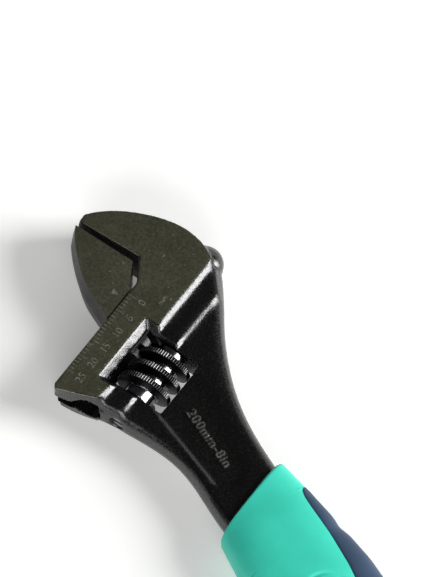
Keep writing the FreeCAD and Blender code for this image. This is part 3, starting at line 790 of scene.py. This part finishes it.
def oval_radius(angle, b):
    """Distance from the grip's middle line to its skin, in millimetres."""
    wide = grip_width(b) * closing(b)
    thick = grip_thickness(b) * closing(np.maximum(b - 3.0, 0)) ** 0.9
    wide = np.maximum(wide, 0.05)
    thick = np.maximum(thick, 0.05)
    return (np.abs(np.cos(angle) / wide) ** OVAL + np.abs(np.sin(angle) / thick) ** OVAL) ** (-1 / OVAL)


# %% [markdown]
# Each inlay is widest at its middle and pointed at its ends. Its plan is measured from above, in
# millimetres in from the grip's edge, so it is turned into an angle round the oval section here.

# %% Inlay borders
INLAY_LENGTH = 94.5
FIRST_DIP, FINGER_PITCH = 11.6, 22.0
DIP_DEPTH, DIP_HALF = 0.55, 1.8
INLAY_STARTS = {1: 39.4, -1: 50.4}           # mm along the handle, on the right and on the left
INLAY_PLAN = [(0, 0.0), (0.35, 1.3), (1.0, 2.2), (2.5, 3.0), (5, 3.6), (12, 4.7), (20, 6.3), (27, 7.4),
              (45, 7.6), (62, 7.2), (75, 5.9), (85, 4.2), (91, 2.4), (94.5, 0.0)]


def inlay_half_angle(b, side):
    """Half the angle that the inlay takes up round the section, from its width seen from above."""
    width_in = np.interp(b - INLAY_STARTS[side], *np.array(INLAY_PLAN).T, left=0.0, right=0.0)
    wide = grip_width(b)
    thick = grip_thickness(b)
    reach = np.clip(1 - width_in / wide, 0.0, 1.0)
    rise = thick * (1 - reach ** OVAL) ** (1 / OVAL)
    return np.arctan2(rise, reach * wide)


def finger_dips(b, side):
    """Depth of the shallow dips between the finger swells of an inlay."""
    depth = 0.0
    for dip in range(4):
        middle = INLAY_STARTS[side] + FIRST_DIP + FINGER_PITCH * dip
        depth = depth + DIP_DEPTH * np.exp(-((b - middle) / DIP_HALF) ** 2)
    return depth


print("inlay half angle at 65 mm", round(math.degrees(float(inlay_half_angle(np.array(65.0), 1))), 1))

# %% [markdown]
# Both faces of the grip carry an oval panel with a fine groove round it and shallow dimples
# inside, for the palm. They are less than half a millimetre deep, but they catch the light, so
# they are pressed into the mesh.

# %% Pressed panel and slanted front
FRONT_EDGE = -47.0            # head-frame Y of the grip's front edge
GRIP_SLANT = math.radians(22.5)
ROW_FRONT = (-FRONT_EDGE + HANDLE_START[1]) / math.cos(GRIP_SLANT)
SLANT_FADE = 26.0             # mm over which the slanting rows straighten up
FRONT_ROUND = 0.6
PANEL_START, PANEL_END, PANEL_HALF = 60.3, 127.0, 5.6
GROOVE_DEPTH, GROOVE_HALF = 0.22, 0.45
DIMPLE_DEPTH, DIMPLE_WAVE = 0.16, 2.4         # mm deep, and radians a millimetre


def handle_point(across, along, up):
    """World place of a point given across and along the handle, in millimetres."""
    return Vector((hang_hole.x + across * MM, hang_hole.y + (HOLE_ALONG - along) * MM,
                   hang_hole.z + up * MM))


def slanted(row_place, across):
    """Place along the handle of a point in a row: slanting at the front, square further back."""
    fade = np.clip(1 - (row_place - ROW_FRONT) / SLANT_FADE, 0, 1)
    return row_place - math.tan(GRIP_SLANT) * across * fade ** 1.5


def panel_relief(across, along):
    """Depth pressed into the grip's faces: a groove round an oval panel, and dimples inside it."""
    middle = np.clip(along, PANEL_START + PANEL_HALF, PANEL_END - PANEL_HALF)
    distance = np.hypot(across, along - middle) - PANEL_HALF
    groove = GROOVE_DEPTH * np.exp(-(distance / GROOVE_HALF) ** 2)
    waves = np.sin(across * DIMPLE_WAVE) * np.sin(along * DIMPLE_WAVE)
    return groove + DIMPLE_DEPTH * np.clip(waves, 0, 1) * (distance < -1.4)


# %% Point of the skin
def skin_point(angle, row_place, inset=0.0):
    """A point of the grip's skin, pressed in by inset millimetres."""
    along = row_place
    for _ in range(3):
        radius = oval_radius(angle, along)
        along = slanted(row_place, radius * math.cos(angle))
    from_front = row_place - ROW_FRONT
    if from_front < FRONT_ROUND:
        inset = inset + FRONT_ROUND - math.sqrt(FRONT_ROUND ** 2 - (FRONT_ROUND - from_front) ** 2)
    across = radius * math.cos(angle)
    if abs(math.sin(angle)) > 0.3:
        inset = inset + float(panel_relief(across, along))
    radius = max(radius - inset, 0.02)
    return handle_point(radius * math.cos(angle), along, radius * math.sin(angle))


# %% [markdown]
# Rows lie close together where the skin curves most, at the front edge and at the tail. Columns
# divide each section into four parts, right inlay, top, left inlay and bottom, and each part keeps
# its number of columns while its width changes.

# %% Rows and columns
ROWS = 330
TAIL = 16.0                   # mm of closely spaced rows
front_rows = ROW_FRONT + FRONT_ROUND * (1 - np.cos(np.linspace(0, math.pi / 2, 6)))
middle_rows = np.linspace(ROW_FRONT + FRONT_ROUND, GRIP_REACH - TAIL, ROWS)[1:-1]
tail_rows = GRIP_REACH - TAIL * (1 - np.sin(np.linspace(0, math.pi / 2, 36)))
row_places = np.concatenate([front_rows, middle_rows, tail_rows])
FACE_COLUMNS = 46
SIDE_COLUMNS = 16


def section_columns(row_place):
    """Angles round the section, each with whether it lies in an inlay's pocket."""
    right = float(inlay_half_angle(np.array(row_place), 1))
    left = float(inlay_half_angle(np.array(row_place), -1))
    columns = []
    for low, high, inside in (
        (-right, right, True), (right, math.pi - left, False),
        (math.pi - left, math.pi + left, True), (math.pi + left, 2 * math.pi - right, False),
    ):
        count = SIDE_COLUMNS if inside else FACE_COLUMNS
        for angle in np.linspace(low, high, count):
            columns.append((angle, inside))
    return columns


print("grip rows", len(row_places), "columns", len(section_columns(ROW_FRONT)))

# %% Grip shell
POCKET = 1.3                  # depth of the pockets under the inlays
POCKET_FADE = 0.12            # radians of half width below which a pocket gets shallower
TANG_END = 122.0              # the steel reaches this far into the grip
BORE_WIDE, BORE_THICK, BORE_POWER = 9.2, 3.75, 5


def pocket_depth(half):
    return POCKET * min(1.0, half / POCKET_FADE)


def grip_shell():
    """Soft shell: its skin dips into a pocket under each inlay, and it is hollow for the steel."""
    points = []
    for row_place in row_places:
        for angle, inside in section_columns(row_place):
            side = 1 if math.cos(angle) > 0 else -1
            half = float(inlay_half_angle(np.array(row_place), side))
            points.append(skin_point(angle, row_place, pocket_depth(half) if inside else 0.0))
    columns = len(section_columns(row_places[0]))
    faces = grid_faces(len(row_places), columns)
    faces.append(tuple(range((len(row_places) - 1) * columns, len(row_places) * columns))[::-1])
    inner_start = len(points)
    inner_rows = [ROW_FRONT, ROW_FRONT + 2, 60.0, 90.0, TANG_END + 1.5]
    for row_place in inner_rows:
        for angle, inside in section_columns(ROW_FRONT):
            radius = (abs(math.cos(angle) / BORE_WIDE) ** BORE_POWER
                      + abs(math.sin(angle) / BORE_THICK) ** BORE_POWER) ** (-1 / BORE_POWER)
            across = radius * math.cos(angle)
            points.append(handle_point(across, slanted(row_place, across), radius * math.sin(angle)))
    for row in range(len(inner_rows) - 1):
        for c in range(columns):
            d = (c + 1) % columns
            a = inner_start + row * columns
            faces.append((a + c, a + columns + c, a + columns + d, a + d))
    for c in range(columns):
        d = (c + 1) % columns
        faces.append((c, inner_start + c, inner_start + d, d))
    last = inner_start + (len(inner_rows) - 1) * columns
    faces.append(tuple(range(last, last + columns)))
    return piece_from_points("grip_rubber_shell", points, faces)


# %% Clean and smooth
SHELL_WELD, SLIVER = 0.004, 0.001             # mm


def clean(piece, sharp):
    """Joins coincident points, drops flat slivers, turns the faces outwards and smooths them."""
    cells = bmesh.new()
    cells.from_mesh(piece.data)
    bmesh.ops.remove_doubles(cells, verts=cells.verts, dist=SHELL_WELD * MM)
    bmesh.ops.dissolve_degenerate(cells, edges=cells.edges, dist=SLIVER * MM)
    bmesh.ops.recalc_face_normals(cells, faces=cells.faces)
    cells.to_mesh(piece.data)
    cells.free()
    piece.data.shade_smooth()
    piece.data.set_sharp_from_angle(angle=math.radians(sharp))


rubber_shell = grip_shell()
clean(rubber_shell, 40)
print("grip shell", len(rubber_shell.data.polygons), "faces")

# %% [markdown]
# ## Hang hole
# The tail of the grip has a moulded hole for a hook, with a softly rounded rim. A boolean cuts a
# waisted plug out of the shell, so that the rim flares.

# %% Hang hole
HOLE_RADIUS = 4.0
RIM_ROUND = 1.2
FACE_LEVEL = 8.3              # just above the grip's faces, mm from the parting plane


def waisted_plug():
    """A round plug whose radius flares where it meets the grip's faces."""
    heights = np.linspace(-10.0, 10.0, 61)
    columns = 96
    points = []
    for height in heights:
        edge = FACE_LEVEL - abs(height)
        drop = max(RIM_ROUND ** 2 - (RIM_ROUND - edge) ** 2, 0)
        flare = RIM_ROUND - math.sqrt(drop) if 0 < edge < RIM_ROUND else 0.0
        radius = HOLE_RADIUS + (flare if edge > 0 else RIM_ROUND)
        for c in range(columns):
            angle = 2 * math.pi * c / columns
            across, along = radius * math.cos(angle), HOLE_ALONG + radius * math.sin(angle)
            points.append(handle_point(across, along, height))
    faces = grid_faces(len(heights), columns)
    faces.append(tuple(range(columns)))
    faces.append(tuple(range(len(points) - columns, len(points))))
    piece = piece_from_points("plug", points, faces)
    face_outwards(piece)
    return piece


def bored(piece, plug):
    """Cuts the plug out of the piece's mesh."""
    cut = piece.modifiers.new("hole", "BOOLEAN")
    cut.operation = "DIFFERENCE"
    cut.solver = "EXACT"
    cut.object = plug
    mesh = bpy.data.meshes.new_from_object(piece.evaluated_get(bpy.context.evaluated_depsgraph_get()))
    piece.modifiers.clear()
    piece.data = mesh


plug = waisted_plug()
bored(rubber_shell, plug)
bpy.data.objects.remove(plug)
rubber_shell.data.shade_smooth()
rubber_shell.data.set_sharp_from_angle(angle=math.radians(40))
print("hang hole cut, shell has", len(rubber_shell.data.polygons), "faces")

# %% [markdown]
# ## Finish: soft moulded rubber
# Thermoplastic rubber is dyed right through and moulded against a spark-eroded die, so it is matte
# with a very fine stipple and a dull, wide sheen. The stipple is really 0.1 mm and is drawn at
# 0.35 mm so that it shows. Dust and handling give it faint darker clouds.

# %% Teal rubber
def moulded_rubber():
    material, tree, shader, place = new_material("teal_tpr_rubber")
    cloud = add(tree, "ShaderNodeTexNoise", Vector=place, Scale=per_mm(14.0), Detail=3.0)
    stipple = add(tree, "ShaderNodeTexNoise", Vector=place, Scale=per_mm(0.35), Detail=2.0)
    colour = add(tree, "ShaderNodeValToRGB", Fac=cloud.outputs["Fac"],
                 settings={"stops": [(0.3, "#2EBEA8"), (0.7, "#39CFB6")]}).outputs["Color"]
    rough = add(tree, "ShaderNodeMapRange", Value=stipple.outputs["Fac"], From_Min=0.3, From_Max=0.7,
                To_Min=0.52, To_Max=0.66)
    bump = add(tree, "ShaderNodeBump", Height=stipple.outputs["Fac"], Strength=0.35, Distance=0.05 * MM)
    join(tree, shader, Base_Color=colour, Roughness=rough.outputs[0], Normal=bump.outputs[0], IOR=1.5,
         Sheen_Weight=0.05)
    return material


rubber_shell.data.materials.clear()
rubber_shell.data.materials.append(moulded_rubber())
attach(rubber_shell, "frame")
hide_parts("grip_shell")
print("rubber on the shell")

# %% [markdown]
# ## Slate inlays
# The second shot is a harder polypropylene, dyed dark slate and moulded against a finely etched
# die, so it is smooth but not shiny. Its stipple is really 0.1 mm too, and is drawn at 0.4 mm.

# %% Slate polypropylene
def second_shot():
    material, tree, shader, place = new_material("slate_polypropylene")
    cloud = add(tree, "ShaderNodeTexNoise", Vector=place, Scale=per_mm(11.0), Detail=2.0)
    stipple = add(tree, "ShaderNodeTexNoise", Vector=place, Scale=per_mm(0.4), Detail=2.0)
    colour = add(tree, "ShaderNodeValToRGB", Fac=cloud.outputs["Fac"],
                 settings={"stops": [(0.3, "#283A50"), (0.7, "#31455E")]}).outputs["Color"]
    bump = add(tree, "ShaderNodeBump", Height=stipple.outputs["Fac"], Strength=0.4, Distance=0.06 * MM)
    join(tree, shader, Base_Color=colour, Normal=bump.outputs[0], Roughness=0.55, IOR=1.49,
         Specular_IOR_Level=0.35)
    return material


slate = second_shot()

# %% [markdown]
# Each inlay fills its pocket and leaves a fine groove along its border, where the two colours
# meet. Its skin is crowned a little, and dips between the fingers. It is a closed grid like the
# shell: the outer skin one way round, and the pocket's floor the other way back.

# %% Inlays
BORDER_GAP = 0.018            # radians, the groove between the two colours
END_GAP = 0.25                # mm
CROWN, EDGE_DROP = 0.12, 0.45
FLOOR_GAP = 0.03
NARROWEST = 0.004             # radians of half width at the tips


def inlay(side, name):
    start, end = INLAY_STARTS[side] + END_GAP, INLAY_STARTS[side] + INLAY_LENGTH - END_GAP
    rows = np.linspace(start, end, 240)
    middle = 0.0 if side > 0 else math.pi
    columns = 22
    points = []
    for row_place in rows:
        half = max(float(inlay_half_angle(np.array(row_place), side)) - BORDER_GAP, NARROWEST)
        shares = np.linspace(-1, 1, columns)
        dip = float(finger_dips(np.array(row_place), side))
        for share in shares:
            crown = CROWN - EDGE_DROP * abs(share) ** 8 - dip * (1 - share ** 2)
            points.append(skin_point(middle + half * share, row_place, -crown))
        for share in shares[::-1]:
            points.append(skin_point(middle + half * share, row_place, pocket_depth(half) - FLOOR_GAP))
    ring = 2 * columns
    faces = grid_faces(len(rows), ring)
    faces.append(tuple(range(ring))[::-1])
    faces.append(tuple(range(len(points) - ring, len(points))))
    return piece_from_points(name, points, faces)


for side, node in ((1, "grip_inlay_right"), (-1, "grip_inlay_left")):
    hard_inlay = inlay(side, node.replace("grip", "slate"))
    clean(hard_inlay, 50)
    hard_inlay.data.materials.append(slate)
    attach(hard_inlay, "frame")
    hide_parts(node)
    print(hard_inlay.name, len(hard_inlay.data.polygons), "faces")

# %% [markdown]
# ## Table, light and camera
# A pale table and soft light as in a small studio: a tall softbox low on the right, where the
# forged steps look, a weaker and wider fill on the left, a faint strip behind for the handle's rim,
# and a dim even surround, which leaves the black flats black. The camera looks down steeply from
# far off, so that the long handle isn't stretched.

# %% Table
def pale_table():
    """Matte card under the tool. A little light of its own keeps the shadows soft."""
    half = 3.0
    corners = [(-half, -half, 0), (half, -half, 0), (half, half, 0), (-half, half, 0)]
    table = piece_from_points("pale_table", corners, [(0, 1, 2, 3)])
    material, tree, shader, place = new_material("pale_card")
    grain = add(tree, "ShaderNodeTexNoise", Vector=place, Scale=per_mm(30.0), Detail=2.0)
    colour = add(tree, "ShaderNodeValToRGB", Fac=grain.outputs["Fac"],
                 settings={"stops": [(0.3, "#F2F2F0"), (0.7, "#F6F6F4")]}).outputs["Color"]
    join(tree, shader, Base_Color=colour, Roughness=0.9, Emission_Color=(1, 1, 1, 1),
         Emission_Strength=0.2)
    table.data.materials.append(material)
    return table


table = pale_table()
print("table", [round(v, 1) for v in table.dimensions])

# %% Light
def softbox(name, azimuth, elevation, distance, size, power):
    """An area light that faces the object from a direction."""
    a, e = math.radians(azimuth), math.radians(elevation)
    target = head(0, 0)
    back = Vector((math.sin(a) * math.cos(e), -math.cos(a) * math.cos(e), math.sin(e)))
    data = bpy.data.lights.new(name, "AREA")
    data.shape = "RECTANGLE"
    data.size, data.size_y = size
    data.energy = power
    light = bpy.data.objects.new(name, data)
    bpy.context.scene.collection.objects.link(light)
    light.location = target + back * distance
    light.rotation_euler = back.to_track_quat("Z", "Y").to_euler()
    return light


softbox("key_softbox", 50, 24, 0.9, (0.42, 0.75), 16.0)
softbox("fill_softbox", -40, 30, 1.2, (1.2, 0.7), 11.0)
softbox("rim_strip", 112, 16, 0.9, (0.25, 0.6), 0.5)
world = bpy.data.worlds.new("studio")
bpy.context.scene.world = world
world.use_nodes = True
join(world.node_tree, world.node_tree.nodes["Background"], Color=(1, 1, 1, 1), Strength=0.04)
bpy.context.scene.view_settings.view_transform = "Standard"
print("lights ready")

# %% Camera
CAMERA_AZIMUTH = -31.7
CAMERA_ELEVATION = 62.0
CAMERA_DISTANCE = 4.0         # far off, so that the view is nearly free of perspective
AIM = (6.97, -6.09)           # in the head frame, mm
VIEW_HEIGHT = 0.1386          # metres of the object seen from top to bottom


def camera():
    a, e = math.radians(CAMERA_AZIMUTH), math.radians(CAMERA_ELEVATION)
    back = Vector((math.sin(a) * math.cos(e), -math.cos(a) * math.cos(e), math.sin(e)))
    data = bpy.data.cameras.new("camera")
    data.sensor_width = 36.0
    data.lens = data.sensor_width * CAMERA_DISTANCE / VIEW_HEIGHT
    data.clip_start, data.clip_end = 0.5, 20.0
    eye = bpy.data.objects.new("camera", data)
    bpy.context.scene.collection.objects.link(eye)
    eye.location = head(*AIM) + back * CAMERA_DISTANCE
    eye.rotation_euler = back.to_track_quat("Z", "Y").to_euler()
    bpy.context.scene.camera = eye
    return eye


print("camera at", [round(v, 2) for v in camera().location])
